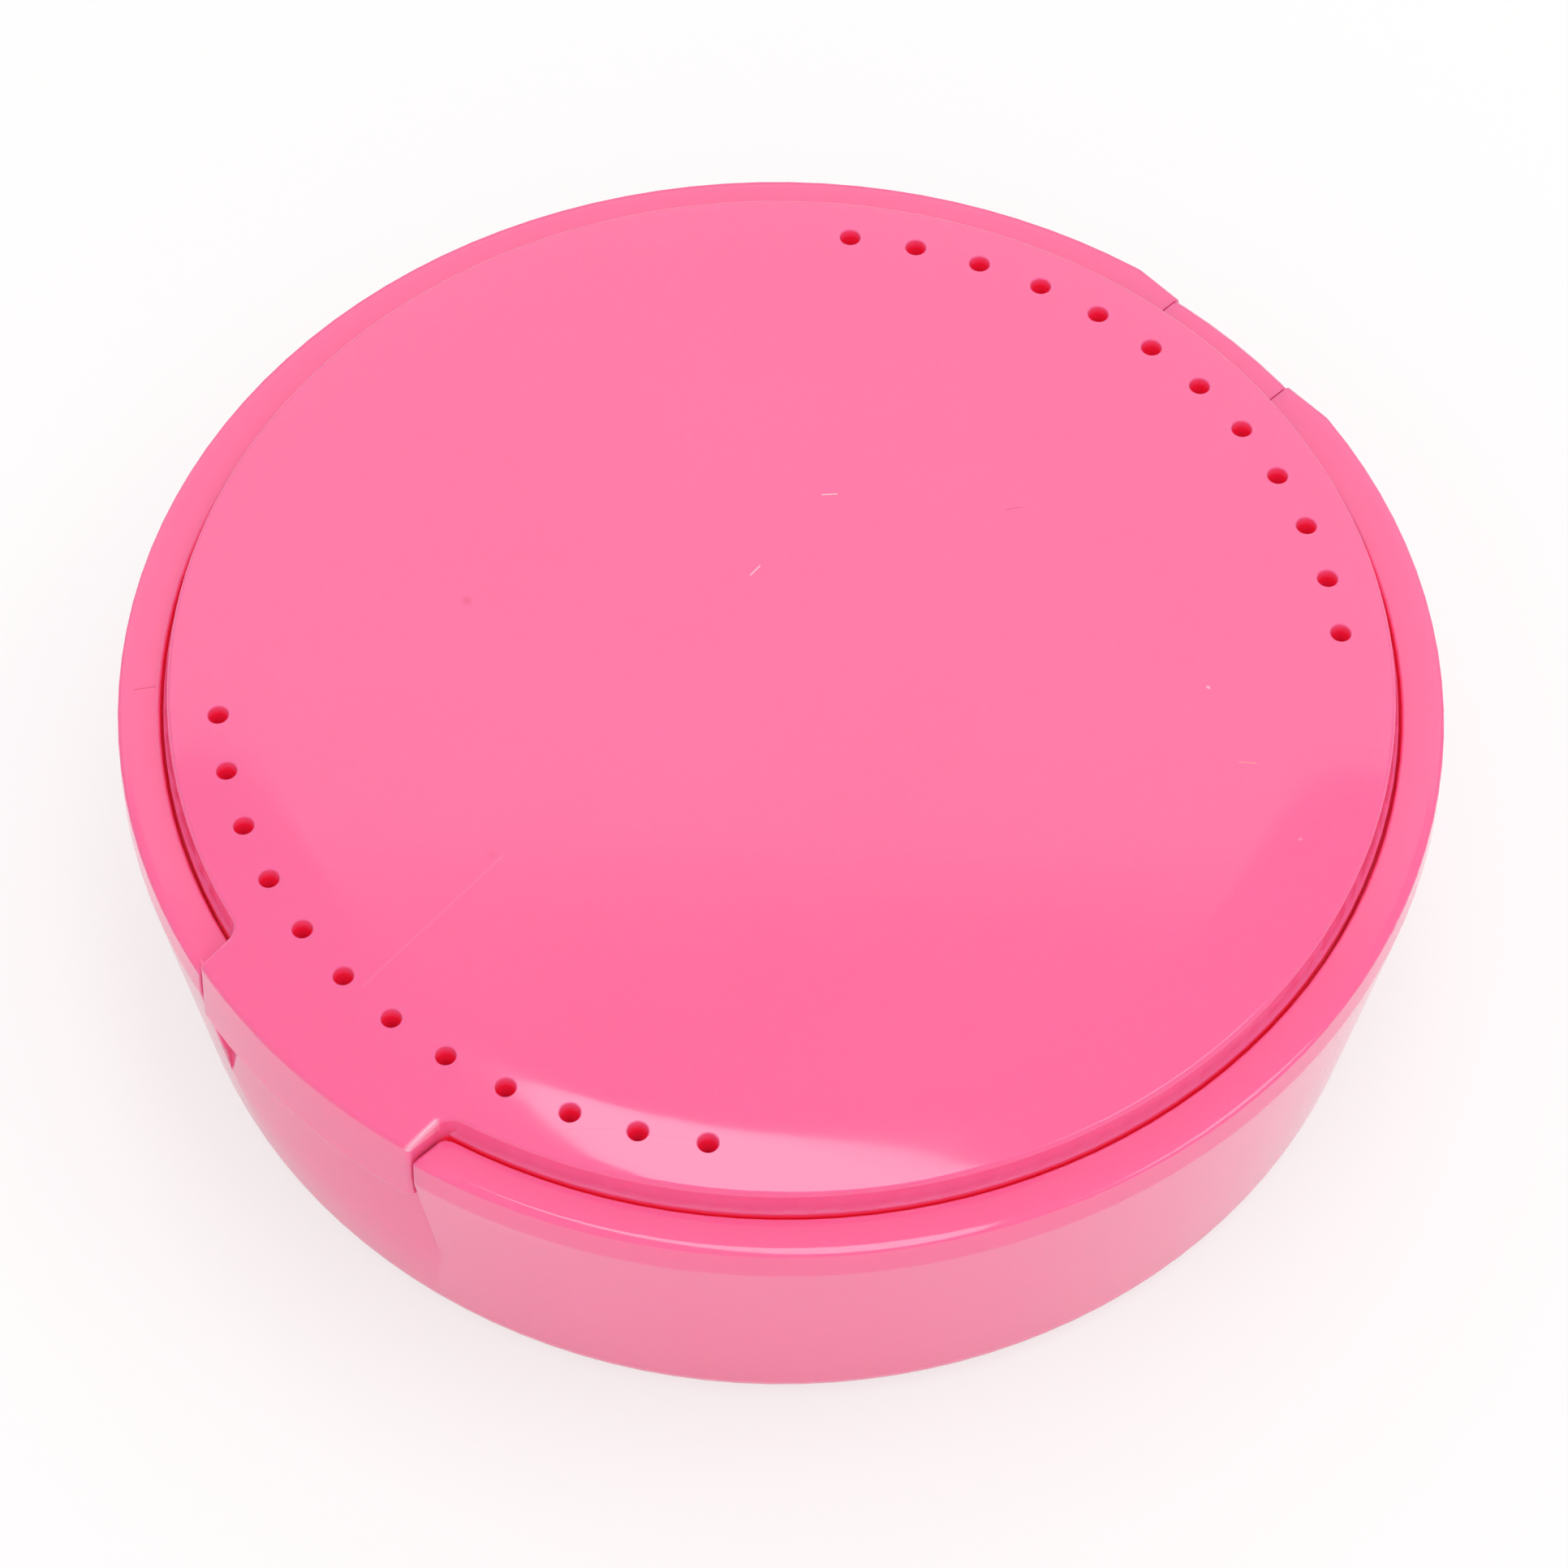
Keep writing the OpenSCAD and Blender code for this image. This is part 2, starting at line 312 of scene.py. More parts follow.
def measure(tree, operation, *vectors):
    """The result of a sum on vectors, which is a number for a length or a dot product."""
    made = node(tree, "ShaderNodeVectorMath", dict(enumerate(vectors)), operation=operation)
    return made.outputs["Value" if operation in ("LENGTH", "DOT_PRODUCT") else "Vector"]


def ramp(tree, value, start, end, low=0.0, high=1.0, **settings):
    """A number carried from one range to another and held at its ends."""
    return node(tree, "ShaderNodeMapRange", {"Value": value, "From Min": start, "From Max": end,
                                             "To Min": low, "To Max": high}, **settings).outputs["Result"]


def from_axis(tree, place):
    """How far a point lies from the case's upright axis, and how high."""
    radius = measure(tree, "LENGTH", measure(tree, "MULTIPLY", place, (1, 1, 0)))
    return radius, node(tree, "ShaderNodeSeparateXYZ", {0: place}).outputs["Z"]


# Specks of dust and grit, one in a few of the cells that fill the space
specks, given, result = group("specks", {"Position": "Vector", "Per Metre": "Float", "Share": "Float",
                                         "Size": "Float"}, {"Mask": "Float"})
cells = node(specks, "ShaderNodeTexVoronoi", {"Vector": given["Position"], "Scale": given["Per Metre"]})
lot = node(specks, "ShaderNodeSeparateColor", {0: cells.outputs["Color"]}).outputs
chosen = reckon(specks, "LESS_THAN", lot[0], given["Share"])
width = reckon(specks, "MULTIPLY", lot[1], given["Size"])
spot = ramp(specks, cells.outputs["Distance"], 0.0, width, 1.0, 0.0)
specks.links.new(reckon(specks, "MULTIPLY", spot, chosen), result["Mask"])

# The slight unevenness of a moulded colour, a little deeper in some places than in others
flow, given, result = group("flow", {"Position": "Vector", "Colour": "Color", "Deep Colour": "Color",
                                     "Depth": "Float"}, {"Colour": "Color"})
cloud = node(flow, "ShaderNodeTexNoise", {"Vector": given["Position"], "Scale": 45.0, "Detail": 3.0})
amount = ramp(flow, cloud.outputs["Fac"], 0.3, 0.7, 0.0, given["Depth"])
flow.links.new(tint(flow, amount, given["Colour"], given["Deep Colour"]), result["Colour"])

# A fine straight scratch, a fibre or a spot, on what lies above a height
hairline, given, result = group("hairline", {"Position": "Vector", "From": "Vector", "To": "Vector",
                                             "Half Width": "Float", "Above": "Float"}, {"Mask": "Float"})
along = measure(hairline, "SUBTRACT", given["To"], given["From"])
flat = measure(hairline, "MULTIPLY", given["Position"], (1, 1, 0))
gone = measure(hairline, "SUBTRACT", flat, given["From"])
share = reckon(hairline, "DIVIDE", measure(hairline, "DOT_PRODUCT", gone, along),
               measure(hairline, "DOT_PRODUCT", along, along), use_clamp=True)
near = node(hairline, "ShaderNodeVectorMath", {0: along, "Scale": share}, operation="SCALE").outputs[0]
away = measure(hairline, "LENGTH", measure(hairline, "SUBTRACT", gone, near))
fade = ramp(hairline, away, 0.0, given["Half Width"], 1.0, 0.0)
height = node(hairline, "ShaderNodeSeparateXYZ", {0: given["Position"]}).outputs["Z"]
high = reckon(hairline, "GREATER_THAN", height, given["Above"])
hairline.links.new(reckon(hairline, "MULTIPLY", fade, high), result["Mask"])

# How far a point lies into the narrow gap round the lid, where painted shade and glow go; a step down counts
# less than one aside
joint_r = seat_r - 0.2
joint_z = collar_top - 0.4
joint_reach = 0.65
joint_down = 0.25
painted_gap_glow, given, result = group("painted_gap_glow", {"Position": "Vector", "Radius": "Float", "Height": "Float",
                                       "Reach": "Float"}, {"Mask": "Float"})
radius, height = from_axis(painted_gap_glow, given["Position"])
out = reckon(painted_gap_glow, "SUBTRACT", radius, given["Radius"])
rise = reckon(painted_gap_glow, "SUBTRACT", height, given["Height"])
depth = reckon(painted_gap_glow, "MAXIMUM", rise, reckon(painted_gap_glow, "MULTIPLY", rise, -joint_down))
apart = node(painted_gap_glow, "ShaderNodeCombineXYZ", {0: out, 1: depth}).outputs[0]
deep = ramp(painted_gap_glow, measure(painted_gap_glow, "LENGTH", apart), 0.0, given["Reach"], 1.0, 0.0,
            interpolation_type="SMOOTHSTEP")
painted_gap_glow.links.new(deep, result["Mask"])

flow_depth = 0.12
speck_strength = 0.5
gap_painted_shade = 0.9
PINK = (0.980, 0.140, 0.340, 1)
DEEP_PINK = (0.96, 0.10, 0.27, 1)
# The next two colours are painted shade and a painted glow for the gap round the lid
PAINTED_GAP_RED = (0.90, 0.012, 0.06, 1)
PAINTED_GAP_GLOW = (0.18, 0.001, 0.006, 1)
GRIT = (0.55, 0.03, 0.10, 1)
DUST_AND_HIGHLIGHT = (1.0, 0.62, 0.72, 1)


def pink_plastic(name, marks, above):
    """Glossy polypropylene that light soaks into, with grit in it and marks and dust on it, and painted shade
    and glow in the gap.

    A mark is (start, end, half width, colour, strength), seen from above, in millimetres. It shows only
    on what lies above the height given.
    """
    material = bpy.data.materials.new(name)
    material.use_nodes = True
    tree = material.node_tree
    shader = tree.nodes["Principled BSDF"]
    place = node(tree, "ShaderNodeTexCoord").outputs["Object"]
    colour = node(tree, "ShaderNodeGroup", {"Position": place, "Colour": PINK, "Deep Colour": DEEP_PINK,
                                            "Depth": flow_depth}, node_tree=flow).outputs["Colour"]

    for per_metre, chance, size, shade in ((210, 0.05, 0.07, GRIT), (260, 0.05, 0.06, DUST_AND_HIGHLIGHT)):
        dots = node(tree, "ShaderNodeGroup", {"Position": place, "Per Metre": per_metre, "Share": chance,
                                              "Size": size}, node_tree=specks).outputs["Mask"]
        colour = tint(tree, reckon(tree, "MULTIPLY", dots, speck_strength), colour, shade)

    for start, end, half_width, shade, strength in marks:
        line = node(tree, "ShaderNodeGroup", {
            "Position": place,
            "From": (start[0] * MM, start[1] * MM, 0),
            "To": (end[0] * MM, end[1] * MM, 0),
            "Half Width": half_width * MM,
            "Above": above * MM,
        }, node_tree=hairline).outputs["Mask"]
        colour = tint(tree, reckon(tree, "MULTIPLY", line, strength), colour, shade)

    # Painted shade and glow: the gap between the mouldings is painted deep red and given an emitted glow, in
    # place of light that has come through the plastic
    inside = node(tree, "ShaderNodeGroup", {"Position": place, "Radius": joint_r * MM, "Height": joint_z * MM,
                                            "Reach": joint_reach * MM}, node_tree=painted_gap_glow).outputs["Mask"]
    colour = tint(tree, reckon(tree, "MULTIPLY", inside, gap_painted_shade), colour, PAINTED_GAP_RED)
    painted_glow = tint(tree, inside, (0, 0, 0, 1), PAINTED_GAP_GLOW)

    waves = node(tree, "ShaderNodeTexNoise", {"Vector": place, "Scale": 130.0, "Detail": 2.0})
    skin = node(tree, "ShaderNodeBump", {"Height": waves.outputs["Fac"], "Strength": 1.0, "Distance": 8e-6})
    rub = node(tree, "ShaderNodeTexNoise", {"Vector": place, "Scale": 60.0, "Detail": 4.0})
    gloss = ramp(tree, rub.outputs["Fac"], 0.35, 0.75, 0.07, 0.12)

    tree.links.new(colour, shader.inputs["Base Color"])
    tree.links.new(gloss, shader.inputs["Roughness"])
    tree.links.new(skin.outputs["Normal"], shader.inputs["Normal"])
    tree.links.new(painted_glow, shader.inputs["Emission Color"])

    # Light soaks a little way into the plastic, and its skin shines like a thin clear coat
    shader.inputs["Emission Strength"].default_value = 1.0
    shader.inputs["IOR"].default_value = 1.49
    shader.inputs["Subsurface Weight"].default_value = 0.5
    shader.inputs["Subsurface Radius"].default_value = (1.0, 0.15, 0.25)
    shader.inputs["Subsurface Scale"].default_value = 0.002
    shader.inputs["Coat Weight"].default_value = 0.4
    shader.inputs["Coat Roughness"].default_value = 0.05
    return material


def lay_over(material, share, colours):
    """Lays a colour over what already feeds each named input of a material's shader."""
    tree = material.node_tree
    shader = tree.nodes["Principled BSDF"]
    for label, shade in colours.items():
        under = shader.inputs[label].links[0].from_socket
        tree.links.new(tint(tree, share, under, shade), shader.inputs[label])


# A short fibre lies on the collar, left of the latch
collar_marks_z = collar_top - 0.5
collar_marks = [((-28.0, -28.7), (-27.3, -27.6), 0.07, GRIT, 0.7)]
base_plastic = pink_plastic("base_plastic", collar_marks, collar_marks_z)

# Painted glow: a faint emitted red light inside the bowl, in place of light that comes through the walls, so
# that the shut case isn't black within
PAINTED_INNER_GLOW = (0.05, 0.001, 0.005, 1)
painted_glow_z = floor_z - 0.2
painted_glow_r = ledge_r + 0.05
base_tree = base_plastic.node_tree
radius, height = from_axis(base_tree, node(base_tree, "ShaderNodeTexCoord").outputs["Object"])
over_floor = reckon(base_tree, "GREATER_THAN", height, painted_glow_z * MM)
within = reckon(base_tree, "LESS_THAN", radius, painted_glow_r * MM)
lay_over(base_plastic, reckon(base_tree, "MULTIPLY", over_floor, within), {"Emission Color": PAINTED_INNER_GLOW})

case_base = turned("case_base", [
    (0, foot_hollow, 0),
    (foot_ring_in, foot_hollow, inner_edge),
    (foot_ring_in, 0, inner_edge),
    (foot_r, 0, foot_round),
    (foot_r + wall_mid_z * wall_lean, wall_mid_z, 0),
    (collar_r, band_z, band_edge),
    (collar_r, collar_top - collar_fall, collar_edge),
    (collar_r - collar_land, collar_top, collar_blend),
    (seat_r, collar_top, seat_edge),
    (seat_r, ledge_z, inner_edge),
    (ledge_r, ledge_z, inner_edge),
    (floor_r, floor_z, floor_round),
    (0, floor_z, 0),
])

# The notch for the tab opens into the lid's seat, and the recess for the hook has a round floor
latch_room = rod("latch_room", seat_r - HAIR, notch_z, collar_top + 1, OUTLINE_STEPS)
work(latch_room, block("notch", (-notch_half, -collar_r - PAST, notch_z), (notch_half, 0, collar_top + 1)),
     "UNION")
fill_corners(latch_room, notch_half, seat_r - HAIR, notch_corner)
recess = block("recess", (-notch_half, -collar_r - PAST, -1), (notch_half, 0, notch_z + 0.5))
work(recess, rod("recess_floor", recess_r, -PAST, collar_top))
work(latch_room, recess, "UNION")
work(case_base, latch_room)
work(case_base, ridge("catch", recess_r, catch_h, catch_z, catch_half), "UNION")

# The slot that the lid's knuckle turns in, the flat behind it, and the pin's two open seats
work(case_base, block("slot", (-slot_half, slot_y, slot_z), (slot_half, collar_r + PAST, collar_top + 1)))
ear_flat = draw("ear_flat", [
    (ear_flat_y, -1, 0),
    (ear_flat_y + PAST, -1, 0),
    (ear_flat_y + PAST, collar_top + 1, 0),
    (ear_flat_y - 1, collar_top + 1, 0),
    (ear_flat_y - 1, collar_top + HAIR / 2, 0),
    (ear_flat_y, collar_top + HAIR / 2, ear_edge),
], closed=True)
bpy.ops.mesh.select_all(action="SELECT")
bpy.ops.mesh.edge_face_add()
bpy.ops.mesh.extrude_region_move(TRANSFORM_OT_translate={"value": (0, 2 * PAST, 0)})
bpy.ops.mesh.select_all(action="SELECT")
bpy.ops.transform.translate(value=(0, -PAST, 0))
bpy.ops.mesh.normals_make_consistent(inside=False)
bpy.ops.object.mode_set(mode="OBJECT")
ear_flat.rotation_euler = (0, 0, math.pi / 2)
bpy.ops.object.transform_apply(location=True, rotation=True, scale=True)
work(case_base, ear_flat)
work(case_base, cross_rod("pin_seats", pin_r + pin_room, pin_half + pin_room))
work(case_base, block("throats", (-pin_half - pin_room, throat_y, axis_z - throat_half),
                      (pin_half + pin_room, axis_y, axis_z + throat_half)))

soften(case_base, lambda p: (p.y < -end_y and p.z > wall_mid_z - HAIR
                             and notch_half - HAIR < abs(p.x) < notch_half + 1), latch_edge)
soften(case_base, lambda p: p.y > end_y and abs(abs(p.x) - slot_half) < HAIR and p.z > ledge_z, slot_edge)
finish_piece(case_base, "case_base", base_plastic)
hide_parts("base")
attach(case_base, "base")

# Lid: one moulding in the same plastic, a disc whose rim falls away a little, with a skirt under it,
# two rows of air vents, a tab with a snap hook at the front and a hinge knuckle at the back.
# The disc and tab are cut from a turned blank by their outline, then hollowed from below.

lid_low, lid_high = (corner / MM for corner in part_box("lid"))
lid_r = lid_high.x
lid_top = lid_high.z
tab_r = -lid_low.y
hook_z = lid_low.z
lid_edge = 0.3
lip_r = lid_r + 0.26
lip_z = collar_top + 0.1
lip_low_z = collar_top - 0.4
lip_edge = 0.15
lip_slope_in = 0.75
lip_slope_up = 1.3
crown_flat_r = lid_r - 6.5
crown_arc_r = 38
crown_ring = 0.82
crown_rings = 7
crown_rings_r = lid_r - 0.75
plate_z = lid_top - 1.8
skirt_r = lid_r - 1.5
skirt_z = ledge_z + 0.3
skirt_round = 0.7
skirt_edge = 0.2
tab_half = 9.3
tab_corner = 1.2
tab_front_corner = 0.3
tab_z = notch_z + 0.3
hook_r = tab_r - 1.45
hook_round = 0.4
hook_edge = 0.3
bead_h = 0.27
bead_z = hook_z + 0.85
relief_half = 17
relief_z = collar_top + 0.3
knuckle_r = 1.7
knuckle_half = 4.85
knuckle_reach = axis_y + knuckle_r
knuckle_edge = 0.6
knuckle_end_edge = 0.05
neck_len = 3
neck_z = plate_z + 0.45
bore_room = 0.06
vent_r = 0.68
vent_taper = 0.6
vent_edge = 0.06
vent_ring_r = lid_r - 3.15
vent_sides = 28
vents_in_row = 12
vent_pitch = math.radians(7.02)


def crown(r):
    """Height of the lid's top at a distance r from its middle."""
    return lid_top - crown_arc_r + math.sqrt(crown_arc_r ** 2 - max(0, r - crown_flat_r) ** 2)


blank_r = tab_r + 1.2
rings = [blank_r, (lid_r + tab_r) / 2] + [crown_rings_r - i * crown_ring for i in range(crown_rings)]
case_lid = turned("case_lid", [(0, hook_z, 0), (blank_r, hook_z, 0)]
                  + [(r, crown(r), 0) for r in rings]
                  + [(crown_flat_r, lid_top, 0), (0, lid_top, 0)])

outline = rod("outline", lid_r, hook_z - 1, lid_top + 1, OUTLINE_STEPS)
tab = rod("tab", tab_r, hook_z - 1, lid_top + 1, OUTLINE_STEPS)
work(tab, block("tab_sides", (-tab_half, -tab_r - 1, 0), (tab_half, -lid_r / 2, lid_top + PAST)), "INTERSECT")
edit(tab)
pick("EDGE", lambda e: abs(e.verts[0].co.z - e.verts[1].co.z) > 1
     and all(abs(abs(v.co.x) - tab_half) < HAIR and v.co.y < -lid_r for v in e.verts))
bpy.ops.mesh.bevel(offset=tab_front_corner, segments=5, clamp_overlap=False)
bpy.ops.object.mode_set(mode="OBJECT")
work(outline, tab, "UNION")
fill_corners(outline, tab_half, lid_r, tab_corner)
work(case_lid, outline, "INTERSECT")

# The cut leaves twin points along the two inner corners, which would crease the rounded edge
edit(case_lid)
pick("VERT", lambda v: v.co.y < -crown_flat_r and abs(abs(v.co.x) - tab_half) < tab_corner)
bpy.ops.mesh.remove_doubles(threshold=2 * HAIR)
bpy.ops.object.mode_set(mode="OBJECT")
soften(case_lid, lambda p: p.z > collar_top, lid_edge, segments=5)
soften(case_lid, lambda p: p.z < hook_z + HAIR and p.y < -lid_r, hook_edge)

# Where the mould parts, the side slopes out to a low lip, which stops short of the hinge
lip = turned("lip", [
    (lid_r - 1, lip_low_z, 0),
    (lid_r - HAIR, lip_low_z, 0),
    (lip_r, lip_low_z + lip_edge, 0),
    (lip_r, lip_z, lip_edge),
    (lip_r - lip_slope_in, lip_z + lip_slope_up, 0),
], closed=True)
work(lip, block("lip_end", (-relief_half, 0, 0), (relief_half, tab_r, lid_top)))
work(case_lid, lip, "UNION")

work(case_lid, turned("underside", [
    (0, hook_z - 1, 0),
    (hook_r, hook_z - 1, 0),
    (hook_r, tab_z, hook_round),
    (lip_r + HAIR, tab_z, 0),
    (lip_r + HAIR, skirt_z, 0),
    (skirt_r, skirt_z, skirt_edge),
    (skirt_r, plate_z, skirt_round),
    (0, plate_z, 0),
]))
work(case_lid, ridge("bead", hook_r, -bead_h, bead_z, tab_half - tab_front_corner), "UNION")

# The skirt stops short of the hinge, where it would swing into the ears
work(case_lid, block("relief", (-relief_half, 0, 0), (relief_half, tab_r, relief_z)))

# The neck leaves the plate and runs down to the barrel, which it meets along a tangent
root = Vector((skirt_r - neck_len, neck_z))
axis = Vector((axis_y, axis_z))
pull = root - axis
touch_angle = math.atan2(pull.y, pull.x) + math.acos(knuckle_r / pull.length)
touch = axis + knuckle_r * Vector((math.cos(touch_angle), math.sin(touch_angle)))
neck_foot = root + (touch - root) * (root.y - axis_z + knuckle_r) / (root.y - touch.y)
knuckle = turned("knuckle", [
    (*root, 0),
    (skirt_r, root.y, 0),
    (skirt_r, collar_top, 0),
    (knuckle_reach, collar_top, knuckle_edge),
    (knuckle_reach, axis_z - knuckle_r, knuckle_r),
    (*neck_foot, knuckle_r),
], closed=True)
work(knuckle, block("knuckle_ends", (-knuckle_half, 0, 0), (knuckle_half, tab_r, lid_top)), "INTERSECT")
soften(knuckle, lambda p: abs(abs(p.x) - knuckle_half) < HAIR, knuckle_end_edge)
work(case_lid, knuckle, "UNION")
work(case_lid, cross_rod("bore", pin_r + bore_room, knuckle_half + 1))

# One hole, as the tapered pin of the mould leaves it, copied along the two rows
first_vent = rod("vents", vent_r, plate_z, lid_top, vent_sides)
edit(first_vent)
pick("FACE", lambda f: f.normal.z < -0.5)
bpy.ops.transform.resize(value=(vent_taper, vent_taper, 1))
for way in (-1, 1):
    pick("FACE", lambda f: f.normal.z * way > 0.9)
    bpy.ops.mesh.extrude_region_move(TRANSFORM_OT_translate={"value": (0, 0, 2 * way)})
bpy.ops.mesh.select_all(action="SELECT")
bpy.ops.transform.translate(value=(vent_ring_r, 0, 0))
bpy.ops.object.mode_set(mode="OBJECT")
row_start = -vent_pitch * (vents_in_row - 1) / 2
for middle in (-math.pi / 2, math.pi / 2):
    for i in range(vents_in_row):
        vent = first_vent.copy()
        vent.data = first_vent.data.copy()
        vent.data.transform(Matrix.Rotation(middle + row_start + i * vent_pitch, 4, "Z"))
        bpy.context.scene.collection.objects.link(vent)
        vent.select_set(True)
first_vent.select_set(False)
bpy.data.objects.remove(first_vent)
bpy.context.view_layer.objects.active = vent
bpy.ops.object.join()
work(case_lid, vent)
soften(case_lid, lambda p: (p.z > lid_top - 0.5
                            and abs(math.hypot(p.x, p.y) - vent_ring_r) < vent_r + vent_edge),
       vent_edge, segments=1)

# Scratches from use, a painted highlight along the tab's right top edge, and a few fibres and spots that lie
# on the top
AMBER = (0.95, 0.45, 0.25, 1)
lid_marks_z = plate_z + 0.3
lid_marks = [
    # Painted highlight: a pale strip along the tab's right top edge
    ((9.15, -40.6), (9.15, -37.7), 0.30, DUST_AND_HIGHLIGHT, 0.6),
    ((-0.7, -34.4), (-1.8, -21.9), 0.06, DUST_AND_HIGHLIGHT, 0.12),
    ((15.2, -32.5), (17.8, -30.0), 0.05, GRIT, 0.30),
    ((18.9, -29.4), (21.3, -27.5), 0.05, GRIT, 0.30),
    ((-8.1, 11.4), (-7.5, 12.1), 0.07, DUST_AND_HIGHLIGHT, 0.9),
    ((-6.7, 3.8), (-6.8, 4.7), 0.07, DUST_AND_HIGHLIGHT, 0.9),
    ((0.7, 18.9), (1.2, 19.7), 0.06, GRIT, 0.5),
    ((24.3, 15.5), (25.1, 16.2), 0.06, AMBER, 0.5),
    ((-17.5, -10.3), (-17.4, -10.3), 0.42, GRIT, 0.35),
    ((-2.4, -22.3), (-2.3, -22.3), 0.45, GRIT, 0.15),
    ((19.0, 18.2), (19.1, 18.2), 0.12, DUST_AND_HIGHLIGHT, 0.9),
]
lid_plastic = pink_plastic("lid_plastic", lid_marks, lid_marks_z)

# Painted shade and glow: the vents are painted from pink at their rims to a deep red lower down, with a faint
# emitted glow
VENT_PAINTED_SHADE = (0.91, 0.02, 0.09, 1)
VENT_PAINTED_GLOW = (0.09, 0.001, 0.005, 1)
vent_rim_z = crown(vent_ring_r) - 0.1
vent_full_shade_z = vent_rim_z - 0.6
vent_foot_z = plate_z + 0.02
vent_row_half = vent_r + 0.1
lid_tree = lid_plastic.node_tree
radius, height = from_axis(lid_tree, node(lid_tree, "ShaderNodeTexCoord").outputs["Object"])
in_row = reckon(lid_tree, "COMPARE", radius, vent_ring_r * MM, vent_row_half * MM)
in_plate = reckon(lid_tree, "GREATER_THAN", height, vent_foot_z * MM)
down = ramp(lid_tree, height, vent_full_shade_z * MM, vent_rim_z * MM, 1.0, 0.0)
painted_vent_shade = reckon(lid_tree, "MULTIPLY", reckon(lid_tree, "MULTIPLY", in_row, in_plate), down)
lay_over(lid_plastic, painted_vent_shade, {"Base Color": VENT_PAINTED_SHADE, "Emission Color": VENT_PAINTED_GLOW})
finish_piece(case_lid, "case_lid", lid_plastic)
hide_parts("lid")
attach(case_lid, "lid")

# Hinge pin: a straight length of drawn stainless wire, pushed into the ears' seats through the knuckle.
# Its cut ends are tumbled round, and the die has left fine lines along it.

pin_edge = 0.2
die_line_scale = (60, 9000, 9000)
STEEL = (0.60, 0.60, 0.62, 1)
DULL_STEEL = (0.42, 0.42, 0.44, 1)

pin_steel = bpy.data.materials.new("pin_steel")
pin_steel.use_nodes = True
steel_tree = pin_steel.node_tree
steel_shader = steel_tree.nodes["Principled BSDF"]
place = node(steel_tree, "ShaderNodeTexCoord").outputs["Object"]
drawn_out = node(steel_tree, "ShaderNodeMapping", {"Vector": place, "Scale": die_line_scale})
die_lines = node(steel_tree, "ShaderNodeTexNoise", {"Vector": drawn_out.outputs[0], "Scale": 1.0,
                                                    "Detail": 3.0})
lined = ramp(steel_tree, die_lines.outputs["Fac"], 0.35, 0.65)
scored = node(steel_tree, "ShaderNodeBump", {"Height": lined, "Strength": 0.5, "Distance": 4e-6})
steel_tree.links.new(tint(steel_tree, lined, STEEL, DULL_STEEL), steel_shader.inputs["Base Color"])
steel_tree.links.new(ramp(steel_tree, lined, 0.0, 1.0, 0.22, 0.42), steel_shader.inputs["Roughness"])
steel_tree.links.new(scored.outputs["Normal"], steel_shader.inputs["Normal"])
steel_shader.inputs["Metallic"].default_value = 1
hinge_wire = cross_rod("hinge_wire", pin_r, pin_half)
soften(hinge_wire, lambda p: abs(abs(p.x) - pin_half) < HAIR, pin_edge)
finish_piece(hinge_wire, "hinge_wire", pin_steel)
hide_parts("hinge_pin")
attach(hinge_wire, "base")

# Stage: a white floor that keeps a faint shadow, soft boxes overhead, behind and beside the case, a fill
# in front that leaves no highlight, and the camera where the photograph's stood.

WHITE = (1, 1, 1, 1)
FLOOR_WHITE = (0.93, 0.93, 0.93, 1)
floor_size = 4
floor_own_light = 0.68
floor_mirrored_light = 0.4
sky_light = 0.56
bpy.ops.object.select_all(action="DESELECT")
bpy.ops.mesh.primitive_plane_add(size=floor_size, location=(0, 0, 0))
floor = bpy.context.object
floor.name = "floor"
floor_paint = bpy.data.materials.new("floor_paint")
floor_paint.use_nodes = True
floor_tree = floor_paint.node_tree
floor_shader = floor_tree.nodes["Principled BSDF"]
floor_shader.inputs["Base Color"].default_value = FLOOR_WHITE
floor_shader.inputs["Roughness"].default_value = 1
floor_shader.inputs["Specular IOR Level"].default_value = 0

# Part of the white is the floor's own light, less of it where the plastic mirrors the floor
ray = node(floor_tree, "ShaderNodeLightPath").outputs
seen = reckon(floor_tree, "MULTIPLY", ray["Is Camera Ray"], floor_own_light)
bent = reckon(floor_tree, "MAXIMUM", ray["Is Glossy Ray"], ray["Is Transmission Ray"])
mirrored = reckon(floor_tree, "MULTIPLY", bent, floor_mirrored_light)
own_share = reckon(floor_tree, "MAXIMUM", seen, mirrored)
white = node(floor_tree, "ShaderNodeEmission", {"Color": WHITE, "Strength": 1.0})
paper = node(floor_tree, "ShaderNodeMixShader", {0: own_share, 1: floor_shader.outputs["BSDF"],
                                                 2: white.outputs[0]})
floor_tree.links.new(paper.outputs[0], floor_tree.nodes["Material Output"].inputs["Surface"])
floor.data.materials.append(floor_paint)

world = bpy.data.worlds.new("studio")
bpy.context.scene.world = world
world.use_nodes = True
sky = world.node_tree.nodes["Background"]
sky.inputs["Color"].default_value = WHITE
sky.inputs["Strength"].default_value = sky_light


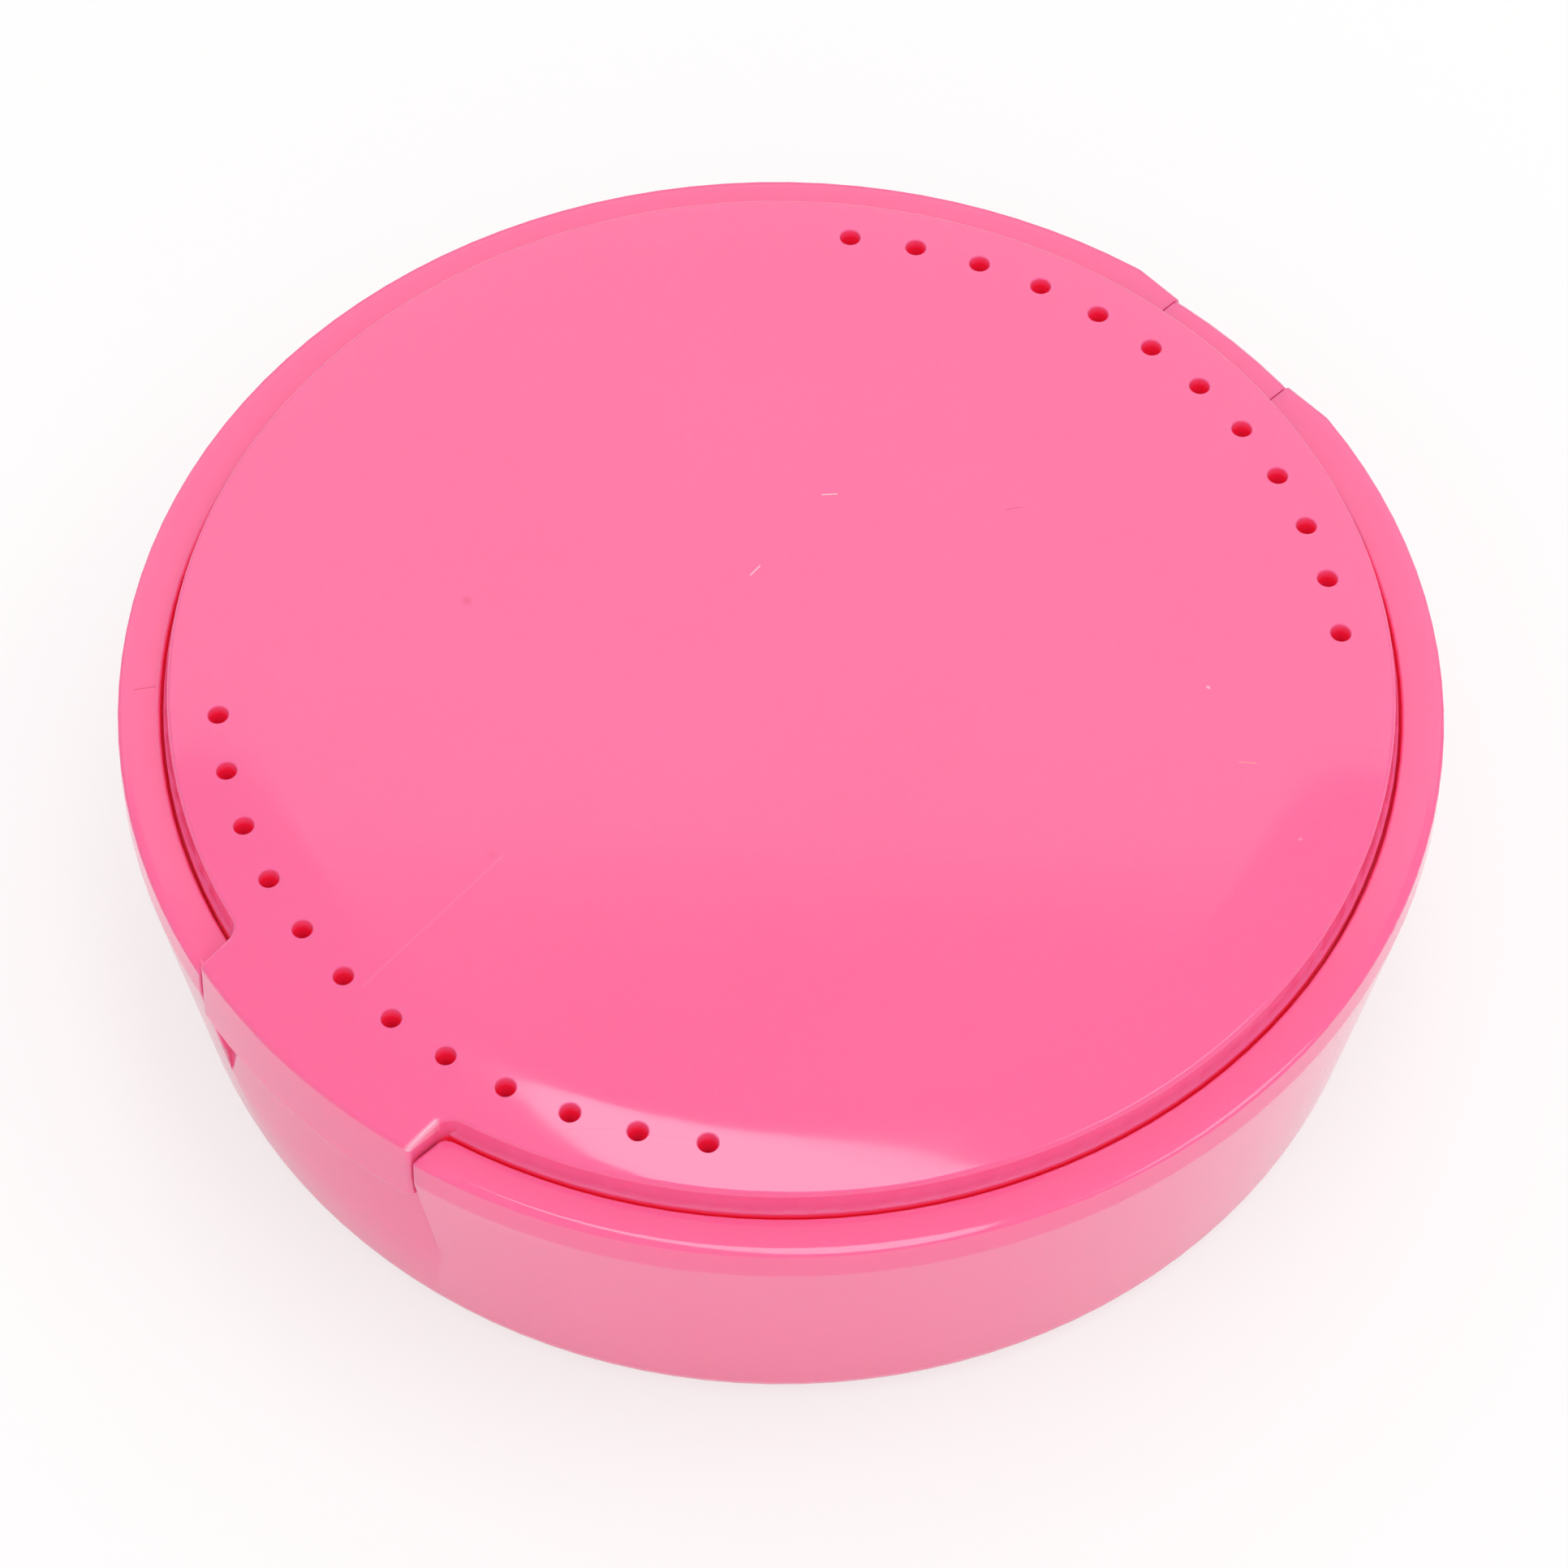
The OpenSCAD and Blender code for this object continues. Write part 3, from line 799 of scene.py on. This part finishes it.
def soft_box(name, place, tilt, heading, wide, tall, watts, shape="RECTANGLE"):
    """A broad lamp, tilted up from straight down and then turned, that the camera doesn't see.

    Its place and size are in metres and its angles in degrees.
    """
    lamp = bpy.data.lights.new(name, "AREA")
    lamp.shape = shape
    lamp.size = wide
    lamp.size_y = tall
    lamp.energy = watts
    made = bpy.data.objects.new(name, lamp)
    bpy.context.scene.collection.objects.link(made)
    made.location = place
    made.rotation_euler = (math.radians(tilt), 0, math.radians(heading))
    made.visible_camera = False
    return made


soft_box("overhead", (0.044, 0.059, 1.02), tilt=0, heading=-26.8, wide=1.0, tall=0.26, watts=2.25,
         shape="ELLIPSE")
soft_box("behind", (-0.64, 0.64, 0.80), tilt=48.5, heading=225, wide=1.8, tall=0.65, watts=2.7)
soft_box("beside", (0.43, 0.34, 0.95), tilt=30, heading=128, wide=0.5, tall=0.25, watts=1.1)
fill = soft_box("in_front", (0.60, -0.60, 0.914), tilt=43, heading=45, wide=1.5, tall=0.9, watts=4.4)
fill.visible_glossy = False
fill.data.color = (1.0, 0.98, 0.91)

# The camera looks at the middle of the lid's top, shifted by a little across and up its own picture
azimuth = math.radians(-45.01)
elevation = math.radians(54.68)
roll = math.radians(1.0)
away_mm = 550.36
across_mm = 0.14
up_mm = -6.92
lens_mm = 204.59
sensor_mm = 36
look = Vector((math.sin(azimuth) * math.cos(elevation), math.cos(azimuth) * math.cos(elevation),
               -math.sin(elevation)))
level = Vector((math.cos(azimuth), -math.sin(azimuth), 0))
rise = level.cross(look)
right = math.cos(roll) * level + math.sin(roll) * rise
up = math.cos(roll) * rise - math.sin(roll) * level
eye = (Vector((0, 0, lid_top)) - away_mm * look + across_mm * right + up_mm * up) * MM
lens = bpy.data.cameras.new("camera")
lens.sensor_width = sensor_mm
lens.lens = lens_mm
camera = bpy.data.objects.new("camera", lens)
bpy.context.scene.collection.objects.link(camera)
camera.matrix_world = Matrix.Translation(eye) @ Matrix((right, up, -look)).transposed().to_4x4()
bpy.context.scene.camera = camera
bpy.context.scene.view_settings.view_transform = "Standard"
